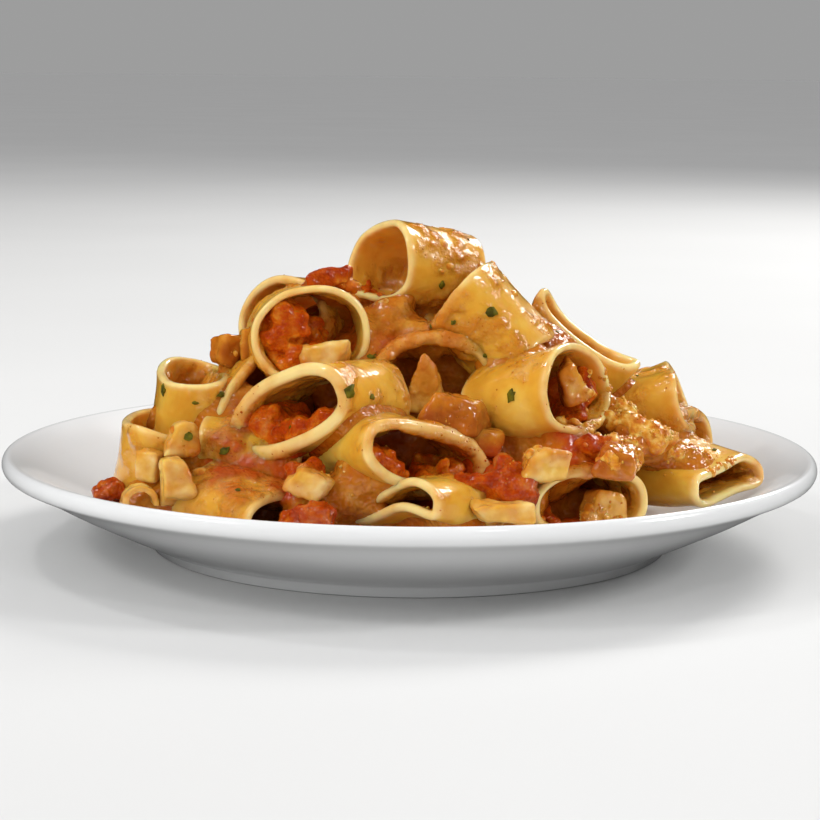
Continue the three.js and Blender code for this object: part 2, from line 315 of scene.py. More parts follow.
def softened(mesh, values, rounds):
    # every point's value evened out with its neighbours'
    count = len(mesh.vertices)
    pairs = np.empty(len(mesh.edges) * 2, dtype=np.int32)
    mesh.edges.foreach_get("vertices", pairs)
    a, b = pairs.reshape(-1, 2).T
    neighbours = np.bincount(a, minlength=count) + np.bincount(b, minlength=count)
    for _ in range(rounds):
        total = np.bincount(a, values[b], count) + np.bincount(b, values[a], count)
        values = (values + total / neighbours) / 2
    return values


def joined(meshes):
    bm = bmesh.new()
    for mesh in meshes:
        bm.from_mesh(mesh)
    return bm


def joinedMesh(name, meshes):
    return meshFrom(joined(meshes), name)


def treeOf(meshes):
    # for finding where a ray meets the food, and what is nearest
    bm = joined(meshes)
    tree = BVHTree.FromBMesh(bm)
    bm.free()
    return tree


def turnBy(bm, degrees, axis):
    turn = Matrix.Rotation(math.radians(degrees), 3, axis)
    bmesh.ops.rotate(bm, verts=bm.verts, cent=(0, 0, 0), matrix=turn)


def roundOff(bm, edges, radius):
    bmesh.ops.bevel(
        bm, geom=edges, offset=radius * mm, segments=3, profile=0.5, affect="EDGES", material=-1)


def modified(thing):
    # the mesh that an object's modifiers make; the object goes
    graph = bpy.context.evaluated_depsgraph_get()
    mesh = bpy.data.meshes.new_from_object(thing.evaluated_get(graph))
    bpy.data.objects.remove(thing)
    return mesh


def skinned(mesh, shape):
    # one closed skin round overlapping lumps, its hollows softened
    holder = placed("skin", mesh)
    modifier = holder.modifiers.new("skin", "REMESH")
    modifier.mode = "VOXEL"
    modifier.voxel_size = shape.voxel * mm
    bm = joined([modified(holder)])
    for _ in range(shape.smoothing):
        bmesh.ops.smooth_vert(
            bm, verts=bm.verts, factor=0.5, use_axis_x=True, use_axis_y=True, use_axis_z=True)
    return meshFrom(bm, mesh.name)


def smoothstep(low, high, value):
    share = np.clip((value - low) / (high - low), 0, 1)
    return share * share * (3 - 2 * share)


def mix(a, b, share):
    return a + (b - a) * share


def latticeNoise(points, size, shift):
    # smooth gradient noise at points in millimetres, features about size across, roughly -1 to 1
    place = points / size + shift
    cell = np.floor(place)
    inside = place - cell
    ease = inside ** 3 * (inside * (inside * 6 - 15) + 10)
    cell = cell.astype(np.int64)
    total = np.zeros(len(points))
    for corner in np.ndindex(2, 2, 2):  # scrambled cell numbers give each corner its own slope
        key = (cell + corner) @ np.array([73856093, 19349663, 83492791])
        key = ((key ^ (key >> 13)) * 1274126177) & 0xFFFFFFFF
        key = ((key ^ (key >> 15)) * 668265263) & 0xFFFFFFFF
        slope = np.stack([key & 1023, (key >> 10) & 1023, (key >> 20) & 1023], axis=1) / 511.5 - 1
        weight = np.prod(np.where(np.array(corner) == 1, ease, 1 - ease), axis=1)
        total += weight * np.sum(slope * (inside - corner), axis=1)
    return total * 1.5


def fractalAt(points, size, octaves, shift=0.0):
    return sum(latticeNoise(points, size / 2 ** i, shift + 17.3 * i) * 0.55 ** i for i in range(octaves))


def roughen(mesh, *layers):
    # push the skin in and out by noise: (size, depth, octaves) in millimetres
    points = meshPoints(mesh)
    push = sum(depth * fractalAt(points, size, octaves, 3.1 + size) for size, depth, octaves in layers)
    setPoints(mesh, points + meshNormals(mesh) * push[:, None])


# the half section in millimetres, radius and height: out from the middle of the underside, then back
plateShape = Named(
    foot=[(0, 2.4), (74, 2.4), (75.4, 0.4), (76.2, 0), (79, 0), (79.9, 0.5)],
    under=[(81.6, 3.2), (92, 8.1), (106, 14.9), (117, 21), (123.2, 23.9)],
    rim=[(124.6, 25.2), (125, 26.7), (124.6, 28.3), (123.6, 29.2), (122.6, 29.2), (121.4, 28.8)],
    well=[(117, 26.8), (106, 20.4), (92, 13.6), (80, 9.8), (68, 8.4), (56, 8), (0, 8)],
    turns=160,
    soak=0.2,  # how far food may lie under the well's face
)
wellLine = np.array(plateShape.rim[-1:] + plateShape.well)[::-1]


def wellHeight(x, y):
    return np.interp(np.hypot(x, y), wellLine[:, 0], wellLine[:, 1])


def onPlate(points):
    # points in millimetres, none below the plate's upper face
    lowest = wellHeight(points[:, 0], points[:, 1]) - plateShape.soak
    points[:, 2] = np.maximum(points[:, 2], lowest)
    return points


def softLine(points, cuts):
    # a Catmull-Rom line through the points, so the coupe has no creases
    points = [Vector((*p, 0)) for p in points]
    result = []
    for i in range(len(points) - 1):
        a, b = points[max(i - 1, 0)], points[i]
        c, d = points[i + 1], points[min(i + 2, len(points) - 1)]
        for k in range(cuts):
            t = k / cuts
            square, cube = 2 * a - 5 * b + 4 * c - d, 3 * b - a - 3 * c + d
            result.append(0.5 * (2 * b + (c - a) * t + square * t * t + cube * t ** 3))
    result.append(points[-1])
    return [(p.x, p.y) for p in result]


def spun(line, turns, name):
    # a closed body of revolution from its half section, in millimetres
    bm = bmesh.new()
    corners = [bm.verts.new((radius * mm, 0, height * mm)) for radius, height in line]
    edges = [bm.edges.new(pair) for pair in zip(corners, corners[1:])]
    bmesh.ops.spin(
        bm, geom=corners + edges, cent=(0, 0, 0), axis=(0, 0, 1), angle=math.tau, steps=turns, use_merge=True)
    bmesh.ops.remove_doubles(bm, verts=bm.verts, dist=1e-6)
    return closedMesh(bm, name)


def makePlate():
    shape = plateShape
    line = shape.foot + softLine(shape.under + shape.rim + shape.well, 3)
    addPiece("porcelain_plate", spun(line, shape.turns, "porcelain_plate"), porcelain, "plate")


tubeShape = Named(
    diameter=29,  # middle of the wall
    wall=2.6,
    length=32,
    lip=1.2,  # rounding of the cut ends
    wobble=0.6,  # how far the dough wanders from a true tube
    ripple=0.8,  # how far a cut end is from flat
)


def tubeOf(name, mouth, turn, rise, roll, flat, **more):
    # mouth is the middle of the open end in millimetres, turn and rise where it faces, flat its height over
    # its width at the mouth and at the far end; egg makes it taller on one side, wave bends its wide line,
    # dent pushes it in at the angle dentAt, and sag cuts its mouth back
    usual = dict(length=tubeShape.length, size=1, thick=1, egg=0, wave=0, sag=0, dent=0, dentAt=90)
    place = dict(name=name, mouth=np.array(mouth), turn=turn, rise=rise, roll=roll, flat=flat)
    return Named(usual | place | more)


frontTubes = [
    tubeOf("crown", (-10.2, -14, 87.5), -57, 12, 15, (0.74, 0.78), size=0.98, length=29, thick=0.85, dent=3,
           dentAt=-120),
    tubeOf("shoulder", (13, -24, 80.5), -95, 45, 0, (0.75, 0.7), length=29),
    tubeOf("cave", (7, -44, 55), 4, 4, 0, (0.85, 0.85), size=1.02, thick=0.9),
    tubeOf("bigring", (-28.6, -42, 69), 9, 6, 8, (0.82, 0.85), length=28, thick=0.8),
    tubeOf("ringback", (-38.9, -16, 69), -38, 8, 0, (0.85, 0.85)),
    tubeOf("leftup", (-64, -30, 56.5), 30, 84, 70, (0.58, 0.75), length=24, size=0.9),
    tubeOf("leftlow", (-70.5, -46, 44), 60, 80, 30, (0.7, 0.8), length=25, size=0.92),
    tubeOf("baseleft", (-33, -70, 20.8), 56, -7, 0, (0.34, 0.55), length=28, size=0.92),
    tubeOf("oval", (-35, -66, 50.4), -38, 6, 25, (0.48, 0.7), length=34, size=1.02, thick=1.5),
    tubeOf("slot", (5, -74, 38.5), 35, 4, -17, (0.42, 0.66), length=33, thick=1.2),
    tubeOf("fold", (-8, -78, 26.5), -48, 10, 8, (0.13, 0.4), length=32, size=0.94, egg=0.85, wave=2.4),
    tubeOf("arch", (51.5, -68, 25), 24, 2, 0, (0.5, 0.58), length=30, size=0.9, thick=0.9),
    tubeOf("wedge", (94.5, -37, 26), 50, -3, 2, (0.26, 0.78), length=36, size=0.84, wave=1),
    tubeOf("horn", (48.2, -50, 55.5), 54, 16, 5, (0.72, 0.75), length=30, size=0.96, thick=0.85),
    tubeOf("saddle", (54, -15, 69), 65, 56, 90, (0.3, 0.62), size=0.85, length=32, sag=3),
    tubeOf("corner", (83, -8, 48), 84, 22, 0, (0.6, 0.85), length=30, size=0.96, dent=3, dentAt=95),
    tubeOf("lowright", (86, -8, 33), 60, 8, 0, (0.5, 0.62), length=30, size=0.95),
    tubeOf("underoval", (-28, -46, 31), 80, -4, 0, (0.6, 0.7)),
    tubeOf("lipedge", (-42, -40, 48), 20, 8, 50, (0.6, 0.7), length=30),
]

# the far side, which the photo doesn't show: how many, how far out and how high, over which bearings
backTiers = table(
    "count radius height arc rise flat",
    (6, 64, 25, (8, 172), 8, (0.55, 0.8)),
    (4, 39, 47, (30, 152), 14, (0.6, 0.85)),
    (1, 22, 66, (95, 95), 20, (0.65, 0.85)),
)


def tubeAxes(tube):
    # unit vectors out of the mouth, along its width and along its height
    turn, rise, roll = np.radians((tube.turn, tube.rise, tube.roll)).tolist()
    out = np.array([math.cos(rise) * math.sin(turn), -math.cos(rise) * math.cos(turn), math.sin(rise)])
    side = np.array([math.cos(turn), math.sin(turn), 0])
    up = -np.cross(side, out)
    wide = side * math.cos(roll) + up * math.sin(roll)
    narrow = up * math.cos(roll) - side * math.sin(roll)
    return out, wide, narrow


def drawsFrom(seed):
    # the same row of draws as the solids' own
    state = [seed]

    def draw():
        state[0] = (state[0] + 0x6D2B79F5) & 0xFFFFFFFF
        mixed = ((state[0] ^ (state[0] >> 15)) * (1 | state[0])) & 0xFFFFFFFF
        mixed = (mixed + (((mixed ^ (mixed >> 7)) * (61 | mixed)) & 0xFFFFFFFF)) & 0xFFFFFFFF ^ mixed
        return ((mixed ^ (mixed >> 14)) & 0xFFFFFFFF) / 4294967296
    return draw


def backTubes():
    draw = drawsFrom(11)
    tubes = []
    for tier in backTiers:
        for i in range(tier.count):
            bearing = mix(*tier.arc, i / max(tier.count - 1, 1))
            turn = bearing + 90 + mix(-38, 38, draw())
            rise = mix(-tier.rise, tier.rise, draw())
            roll = mix(-25, 25, draw())
            flat = mix(*tier.flat, draw()), mix(*tier.flat, draw())
            size = mix(0.92, 1.03, draw())
            length = tubeShape.length * mix(0.88, 1.04, draw())
            middle = np.array([
                tier.radius * math.cos(math.radians(bearing)),
                tier.radius * math.sin(math.radians(bearing)),
                tier.height + mix(-1.5, 1.5, draw())])
            tube = tubeOf(f"back{len(tubes) + 1}", middle, turn, rise, roll, flat, size=size, length=length)
            tube["mouth"] = middle + tubeAxes(tube)[0] * length / 2
            tubes.append(tube)
    return tubes


def tubeCentre(tube, t):
    return tube.mouth - tubeAxes(tube)[0] * tube.length * np.atleast_1d(t)[:, None]


def wallMiddle(tube, angle, t):
    # the middle of the wall at an angle round the tube and a share t of its length, in millimetres
    out, wide, narrow = tubeAxes(tube)
    ease = smoothstep(0, 1, t)
    flat = mix(*tube.flat, ease)
    h = ((1 - flat) / (1 + flat)) ** 2
    around = math.pi * tubeShape.diameter * tube.size  # the wall keeps its length when the tube flattens
    half = around / (math.pi * (1 + flat) * (1 + 3 * h / (10 + np.sqrt(4 - 3 * h))))
    fullness = 2 / (2 + 0.9 * (1 - flat))
    cosine, sine = np.cos(angle), np.sin(angle)
    u = half * np.sign(cosine) * np.abs(cosine) ** fullness
    w = half * flat * np.sign(sine) * np.abs(sine) ** fullness * (1 + tube.egg * (1 - ease) * cosine)
    bearing = (angle - math.radians(tube.dentAt) + math.pi) % math.tau - math.pi
    dent = tube.dent * (1 - ease) * np.exp(-(bearing / 0.6) ** 2)
    shrink = 1 - dent / np.maximum(np.hypot(u, w), 1)
    flare = 1 + 0.035 * np.clip(1 - 2 * t, 0, 1) ** 3
    least = 0.52 * tubeShape.wall * np.abs(sine) ** 0.4  # walls may touch, not cross
    w = np.sign(w) * np.maximum(np.abs(w), least)
    w = w * shrink * flare + tube.wave * (1 - ease) * np.sin(u / half * 3.6)
    seed = sum(tube.mouth)
    nearEnd, farEnd = np.clip(1 - 3 * t, 0, 1), np.clip(3 * t - 2, 0, 1)
    ripple = tubeShape.ripple * (
        nearEnd * (np.sin(2 * angle + seed) + 0.5 * np.sin(3 * angle + 2 * seed))
        + farEnd * (np.sin(2 * angle + 3 * seed) + 0.5 * np.sin(3 * angle - seed)))
    along = -tube.length * t - tube.sag * (1 - ease) * sine ** 2 + ripple
    along, u, w = (value[:, None] for value in (along, u * shrink * flare, w))
    return tube.mouth + out * along + wide * u + narrow * w


def plainTube(sides, bays, name):
    # a straight open tube standing on its far end, with its wall and rounded lips
    bm = bmesh.new()
    middle, wall = tubeShape.diameter / 2, tubeShape.wall
    outside = middle + wall / 2
    radius = outside * mm
    bmesh.ops.create_cone(
        bm, cap_ends=False, segments=sides, radius1=radius, radius2=radius, depth=tubeShape.length * mm)
    upright = [edge for edge in bm.edges if abs(edge.verts[0].co.z - edge.verts[1].co.z) > mm]
    bmesh.ops.subdivide_edges(bm, edges=upright, cuts=bays - 1, use_grid_fill=True)
    end = tubeShape.length / 2
    nearly = (end - 0.01) * mm
    closer = (end - 1.3 * tubeShape.lip) / (end - tubeShape.length / bays)
    for vert in bm.verts:  # the first row stands clear of the rounded lip
        if abs(vert.co.z) < nearly:
            vert.co.z *= min(closer, 1)
    bmesh.ops.recalc_face_normals(bm, faces=bm.faces)
    bmesh.ops.solidify(bm, geom=bm.faces[:], thickness=wall * mm)
    for vert in bm.verts:  # square the walls up to their two true radii
        radius = vert.co.xy.length
        wanted = (outside if radius > middle * mm else outside - wall) * mm
        vert.co.x, vert.co.y = vert.co.x * wanted / radius, vert.co.y * wanted / radius
    lips = [edge for edge in bm.edges if all(abs(vert.co.z) > nearly for vert in edge.verts)
            and abs(edge.verts[0].co.xy.length - edge.verts[1].co.xy.length) < 0.1 * mm]
    roundOff(bm, lips, tubeShape.lip)
    return closedMesh(bm, name)


def shapedTube(plain, tube):
    # where the plain tube's points lie on this tube
    points = meshPoints(plain)
    angle = np.arctan2(points[:, 1], points[:, 0])
    offset = np.hypot(points[:, 0], points[:, 1]) - tubeShape.diameter / 2
    t = 0.5 - points[:, 2] / tubeShape.length
    middle = wallMiddle(tube, angle, t)
    across = wallMiddle(tube, angle + 0.02, t) - wallMiddle(tube, angle - 0.02, t)
    down = wallMiddle(tube, angle, t + 0.01) - wallMiddle(tube, angle, t - 0.01)
    normal = np.cross(down, across)
    normal /= np.linalg.norm(normal, axis=1, keepdims=True)
    wander = np.stack([fractalAt(middle, 20, 2, shift) for shift in (0, 40, 80)], axis=1)
    thick = 1 + (tube.thick - 1) * np.clip(1 - 2.5 * t, 0, 1)
    return middle + wander * tubeShape.wobble + normal * (offset * thick)[:, None]


def roughTubes():
    # every tube with fewer sides, for finding what is close by
    plain = plainTube(40, 12, "rough")
    meshes = []
    for tube in allTubes:
        mesh = plain.copy()
        setPoints(mesh, shapedTube(plain, tube))
        meshes.append(mesh)
    return joinedMesh("rough_tubes", meshes)


allTubes = frontTubes + backTubes()
roughMesh = roughTubes()
rough = treeOf([roughMesh])

# where sauce lies thick: the middle and reach in millimetres, how much deeper it is, and how red
sauceSpots = table(
    "at reach amount red",
    ((66, -42, 46), 14, 0.9, 0.1), ((78, -42, 38), 12, 0.9, 0.1), ((49, -60, 42), 10, 1.1, 0.8),
    ((30, -34, 60), 13, 0.5, 0.1), ((8, -14, 90), 12, 0.9, 0.05), ((-2, -30, 70), 12, 1.0, 0.15),
    ((-19, -29, 80), 6, 0.8, 0.8), ((-42, -22, 66), 9, 0.9, 0.5), ((-54, -30, 63), 8, 1.3, 0.15),
    ((-46, -52, 42), 12, 1.0, 0.8), ((-50, -70, 31), 12, 1.3, 1.0), ((-30, -74, 33), 8, 0.9, 0.9),
    ((14, -66, 30), 12, 0.9, 0.8), ((30, -66, 34), 12, 1.0, 0.9), ((8, -62, 45), 8, 1.1, 0.2),
    ((62, -12, 66), 8, 0.9, 0.2), ((78, -14, 46), 13, 0.9, 0.1), ((58, -68, 36), 9, 1.0, 0.3),
    ((6, -46, 68), 11, 1.4, 0.15), ((-28, -30, 62), 12, 1.2, 0.9), ((-8, -36, 62), 9, 1.0, 0.5),
    ((-30, -60, 32), 10, 0.8, 0.7), ((70, -46, 38), 9, 0.6, 0.45), ((0, 30, 60), 24, 0.5, 0.4),
    ((-40, 40, 36), 20, 0.5, 0.4), ((44, 44, 36), 20, 0.5, 0.4),
)
# where the dough is bare and bright: how much is taken off the sauce's depth; in the tubes half of it is also
# taken off the shelter, as painted light lifting the painted shade there
bareAndPaintedLightSpots = table(
    "at reach amount",
    ((-44, -68, 46), 12, 0.8), ((34, -54, 48), 13, 0.9), ((89, -38, 30), 12, 0.8),
    ((-70, -42, 50), 12, 1.1), ((-18, -68, 38), 11, 1.8), ((6, -82, 24), 12, 0.9),
    ((38, -76, 24), 10, 0.8), ((66, -20, 58), 13, 1.1), ((-8, -14, 86), 12, 1.7),
    ((78, -50, 24), 14, 1.4), ((-17, -34, 71), 9, 1.8), ((-20, -46, 76), 9, 0.7),
)
filmShape = Named(
    thickest=1.2,
    cover=-0.5,  # how much there is on open dough
    patch=1.1,  # how much it varies from place to place
    drips=0.35,  # and over a few millimetres
    top=0.15,  # how much more on upper faces
    crevice=1.4,  # how much more where the heap closes over it: sauce pooled in the creases, and painted shade, since deeper sauce is coloured darker
    grain=0.28,
    lips=0.6,  # how much less on the cut ends
)


# rays in rings round each point's normal: how far each ring leans out and how many rays are in it
shelterShape = Named(reach=22, lift=1.4, rings=((0.1, 1), (0.65, 4), (1.1, 5)), rounds=5)


def shelterAt(mesh, points, normals):
    # how much of what each point faces is closed off by dough nearby: 0 open, 1 shut in
    shape = shelterShape
    guide = np.cross(normals, (0.31, 0.47, 0.83))
    guide /= np.maximum(np.linalg.norm(guide, axis=1, keepdims=True), 1e-6)
    side = np.cross(normals, guide)
    starts = ((points + normals * shape.lift) * mm).tolist()
    shut = np.zeros(len(points))
    for lean, count in shape.rings:
        for k in range(count):
            turn = math.tau * k / count + lean
            level = (guide * math.cos(turn) + side * math.sin(turn)) * math.sin(lean)
            aims = (normals * math.cos(lean) + level).tolist()
            hits = [rough.ray_cast(start, aim, shape.reach * mm)[0] for start, aim in zip(starts, aims)]
            shut += [hit is not None for hit in hits]
    return softened(mesh, shut / sum(count for _, count in shape.rings), shape.rounds)


def spotSum(points, spots, key):
    # the spots' values at points, each fading out round its spot
    total = np.zeros(len(points))
    for spot in spots:
        away = np.linalg.norm(points - np.array(spot.at), axis=1) / spot.reach
        total += spot[key] * np.exp(-away ** 2)
    return total


def sauceAmount(points, normals, shelter):
    # above 0 there is a film of sauce that deep, in millimetres; below 0 the food is bare
    shape = filmShape
    amount = shape.cover + shape.patch * fractalAt(points, 11, 3)
    amount += shape.drips * fractalAt(points, 3.4, 2, 5)
    # creases get more sauce, which pools there, and the darker colour of deep sauce there is painted shade
    amount += shape.top * normals[:, 2] + shape.crevice * shelter
    return amount + spotSum(points, sauceSpots, "amount") - spotSum(points, bareAndPaintedLightSpots, "amount")


def redness(points):
    # how much tomato is in the sauce, from 0 to 1
    return np.clip(0.25 * fractalAt(points, 8, 2, 9) + spotSum(points, sauceSpots, "red"), 0, 1)


# the pieces that the tubes are joined into; the last takes every tube of the far side
tubeGroups = table(
    "name members sides bays",
    ("paccheri_left", ("ringback", "leftup", "leftlow", "baseleft", "oval", "underoval", "lipedge"), 120, 32),
    ("paccheri_middle", ("crown", "cave", "bigring", "slot", "fold", "shoulder"), 128, 34),
    ("paccheri_right", ("arch", "wedge", "horn", "saddle", "corner", "lowright"), 128, 34),
    ("paccheri_back", None, 72, 20),
)


def makePaccheri():
    pieces = []
    for group in tubeGroups:
        plain = plainTube(group.sides, group.bays, group.name)
        lip = 1 - smoothstep(0.0, 0.09, 0.5 - np.abs(meshPoints(plain)[:, 2]) / tubeShape.length)
        members = group.members or [tube.name for tube in allTubes if tube.name.startswith("back")]
        walls = []
        for tube in allTubes:
            if tube.name not in members:
                continue
            mesh = plain.copy()
            points = shapedTube(plain, tube)
            setPoints(mesh, points)
            normals = meshNormals(mesh)
            # painted light: the bare spots take off shelter, so the painted shade is lifted where the tubes
            # are shaded
            paintedLight = np.clip(0.5 * spotSum(points, bareAndPaintedLightSpots, "amount"), 0, 1)
            shelter = np.clip(shelterAt(mesh, points, normals) - paintedLight, 0, 1)
            amount = sauceAmount(points, normals, shelter) - filmShape.lips * lip
            depth = np.clip(amount, 0, filmShape.thickest)
            depth += filmShape.grain * np.clip(amount + 0.3, 0, 1) * fractalAt(points, 1.8, 2, 3)
            setPoints(mesh, points + normals * depth[:, None])
            addValues(mesh, sauce=amount, red=redness(points), lip=lip, shelter=shelter)
            walls.append(mesh)
        mesh = joinedMesh(group.name, walls)
        pieces.append(addPiece(group.name, mesh, pasta))
    return pieces


bedShape = Named(
    line=[(0, 9), (60, 9), (66, 15), (62, 25), (47, 40), (34, 54), (20, 67), (8, 73), (0, 75)],
    drift=(2, -8),
    lumps=260,
    lumpSize=(3.0, 7.0),
    voxel=1.5,
    smoothing=9,
    tuck=0.7,  # how far it draws in where it meets the dough
    relief=((7, 0.8, 2), (2.4, 0.5, 4)),  # size, depth and shift
)
# mounds of sauce between the tubes: middle and half widths in millimetres
bedMounds = table(
    "at reach",
    ((-65, -60, 24), (11, 10, 10)), ((-50, -24, 56), (8, 8, 8)),
    ((-27, -71, 23), (9, 8, 9)), ((30, -64, 27), (10, 9, 10)),
    ((-26, -10, 62), (13, 12, 13)), ((40, -20, 58), (12, 12, 12)),
    ((-6, -24, 70), (9, 8, 9)), ((4, -30, 66), (8, 7, 7)), ((-9, -33, 64), (6, 6, 8)),
    ((-54, -44, 36), (9, 9, 9)), ((-46, -38, 46), (7, 7, 8)),
    ((-75, -62, 20), (9, 8, 8)), ((14, -80, 18), (8, 6, 7)),
    ((44, -56, 34), (9, 8, 8)), ((-16, -72, 29), (9, 6, 7)),
    # the slope that runs down to the right
    ((61, -36, 43), (7, 8, 8)), ((68, -40, 38), (10, 8, 6.5)),
    ((79, -36, 33), (9, 7, 4.5)), ((59, -53, 36), (9, 7, 6)),
)


def boreMesh(tube, before=0.5, depth=0.55, sides=20):
    # the clear room at a tube's mouth, as a closed plug
    bm = bmesh.new()
    bmesh.ops.create_cone(bm, cap_ends=True, segments=sides, radius1=mm, radius2=mm, depth=mm)
    mesh = meshFrom(bm, "bore")
    points = meshPoints(mesh)
    angle = np.arctan2(points[:, 1], points[:, 0])
    t = np.where(points[:, 2] > 0, -before, depth)
    middle = wallMiddle(tube, angle, t)
    inward = tubeCentre(tube, t) - middle
    inward /= np.linalg.norm(inward, axis=1, keepdims=True)
    setPoints(mesh, middle + inward * tubeShape.wall / 2)
    return mesh


def insideBore(point, room):
    # whether a lump of that size would stand in the open part of a tube
    for tube in allTubes:
        out, wide, narrow = tubeAxes(tube)
        away = tube.mouth - point
        t = away @ out / tube.length
        if -0.45 < t < 0.55:
            half = tubeShape.diameter / 2 * tube.size
            flat = mix(*tube.flat, min(max(t, 0), 1))
            high, low = 2 * half / (1 + flat), 2 * half * flat / (1 + flat)
            if ((away @ wide) / (high + room)) ** 2 + ((away @ narrow) / (low + room)) ** 2 < 1:
                return True
    return False


def ballsMesh(name, balls, detail=2, batch=40):
    # many lumps, each with its place, size and three squashes, in batches because a full bmesh is slow
    batches = []
    for start in range(0, len(balls), batch):
        bm = bmesh.new()
        for at, radius, squash in balls[start:start + batch]:
            turns = [Matrix.Rotation(random.uniform(0, math.tau), 4, axis) for axis in "ZX"]
            # a heap's own body, with radius 1, lies as it is given
            turn = Matrix.Identity(4) if radius == 1 else turns[0] @ turns[1]
            size = Matrix.Diagonal((*(radius * mm * s for s in squash), 1))
            place = Matrix.Translation(Vector(at) * mm) @ turn @ size
            bmesh.ops.create_icosphere(bm, subdivisions=detail, radius=1, matrix=place)
        batches.append(meshFrom(bm, "batch"))
    return joinedMesh(name, batches)


def squashes(low, high):
    return [random.uniform(low, high) for _ in range(3)]


def carvedMound(shape):
    # the low mound of sauce under everything, with the tubes' mouths kept open
    mound = spun(shape.line, 48, "mound")
    setPoints(mound, meshPoints(mound) + np.array([*shape.drift, 0]))
    holder = placed("mound", mound)
    bores = placed("bores", joinedMesh("bores", [boreMesh(tube) for tube in allTubes]))
    cut = holder.modifiers.new("bores", "BOOLEAN")
    cut.operation, cut.object, cut.solver, cut.use_self = "DIFFERENCE", bores, "EXACT", True
    carved = modified(holder)
    bpy.data.objects.remove(bores)
    return carved


def bedLumps(shape):
    # lumps all over the mound, none of them in the open part of a tube
    line = np.array(shape.line[1:])
    lumps = [(mound.at, 1, mound.reach) for mound in bedMounds]
    for _ in range(shape.lumps * 6):
        if len(lumps) == shape.lumps:
            break
        share = random.uniform(0, len(line) - 1.001)
        k = int(share)
        radius, height = line[k] + (line[k + 1] - line[k]) * (share - k)
        bearing = random.uniform(0, math.tau)
        size = random.uniform(*shape.lumpSize)
        at = np.array([
            shape.drift[0] + radius * math.cos(bearing), shape.drift[1] + radius * math.sin(bearing), height])
        at[2] = max(at[2], wellHeight(at[0], at[1]) + size * 0.7)
        if not insideBore(at, size * 0.6):
            lumps.append((at, size, squashes(0.7, 1.2)))
    return lumps


def makeSauceBed(dough):
    # mound, lumps and tube walls in one skin, softened so that sauce fills the creases where tubes meet
    shape = bedShape
    random.seed(3)
    lumps = bedLumps(shape)
    parts = [carvedMound(shape), ballsMesh("lumps", lumps, 3), roughMesh]
    skin = skinned(joinedMesh("sauce_bed", parts), shape)
    points = meshPoints(skin)
    nearest = [dough.find_nearest(point) for point in points * mm]
    onDough = np.array([hit[0] for hit in nearest]) / mm
    outward = np.array([hit[1] for hit in nearest])
    room = np.sum((points - onDough) * outward, axis=1)  # clear of the dough, below 0 inside it
    lumpy = sum(depth * fractalAt(points, size, 2, shift) for size, depth, shift in shape.relief)
    lumpy *= smoothstep(0.4, 2.2, room)
    tucked = shape.tuck * (1 - smoothstep(0.1, 0.9, room))
    points += meshNormals(skin) * lumpy[:, None] - outward * tucked[:, None]
    setPoints(skin, onPlate(points))
    addValues(skin, red=redness(points), shelter=shelterAt(skin, points, meshNormals(skin)))
    return addPiece("sauce_bed", skin, sauce)


# red pulp: middle, how far it spreads, how many bits and their size, in millimetres
pulpHeaps = table(
    "at spread bits size",
    ((-27, -36, 59), (9, 5, 3), 40, (1.2, 2.6)),  # under the dice in the big ring
    ((16, -75, 31), (9, 3, 3.5), 50, (1.0, 2.2)),  # over the fold
    ((54, -58, 39), (9, 4, 4), 60, (1.0, 2.4)),  # run out of the horn
    ((29, -76, 30), (9, 5, 8), 80, (1.2, 2.6)),
    ((-33, -27, 66), (9, 5, 8), 60, (1.4, 2.8)),  # closes the big ring's far side
    ((-29, -73, 34), (6, 4, 3.5), 36, (1.2, 2.4)),
    ((-28, -82, 21), (9, 5, 6.5), 80, (1.2, 2.6)),
    ((-10, -85, 18), (11, 3, 3), 50, (1.0, 2.2)),
    ((-46, -43, 46), (4, 3, 7), 30, (0.9, 2.0)),
    ((-50, -26, 62), (4, 4, 3), 20, (1.0, 2.2)),
    ((-86, -58, 25), (5, 4, 3), 24, (1.0, 2.2)),
    ((-20, -27, 82), (6, 4, 2), 30, (0.8, 1.8)),
)
# pulp that lines a tube: which stretch round its wall, how far in from the mouth, how far to the middle
pulpLinings = table(
    "tube arc deep fill bits size",
    ("bigring", (100, 300), (0.06, 0.75), 0.8, 260, (2.0, 3.4)),
    ("oval", (140, 318), (0.1, 0.6), 0.7, 220, (1.5, 2.8)),
    ("slot", (185, 372), (0.12, 0.6), 0.66, 220, (1.5, 2.6)),
    ("horn", (250, 380), (0.06, 0.6), 0.45, 150, (1.2, 2.2)),
    ("arch", (200, 350), (0.15, 0.6), 0.45, 110, (1.2, 2.2)),
    ("ringback", (180, 300), (0.1, 0.5), 0.4, 70, (1.2, 2.2)),
    ("crown", (190, 300), (0.02, 0.3), 0.2, 40, (0.9, 1.6)),
)
pulpShape = Named(
    body=0.8,  # the solid part of a heap over its spread
    spill=1.15,  # how far its bits lie out, over the body
    voxel=0.62,
    smoothing=9,
    relief=((3.6, 0.4, 2), (1.5, 0.15, 1)),  # size, depth and octaves
)


def addPulp(name, skin, relief, stands="paccheri_heap"):
    roughen(skin, *relief)
    addValues(skin, shelter=shelterAt(skin, meshPoints(skin), meshNormals(skin)))
    return addPiece(name, skin, pulp, stands)


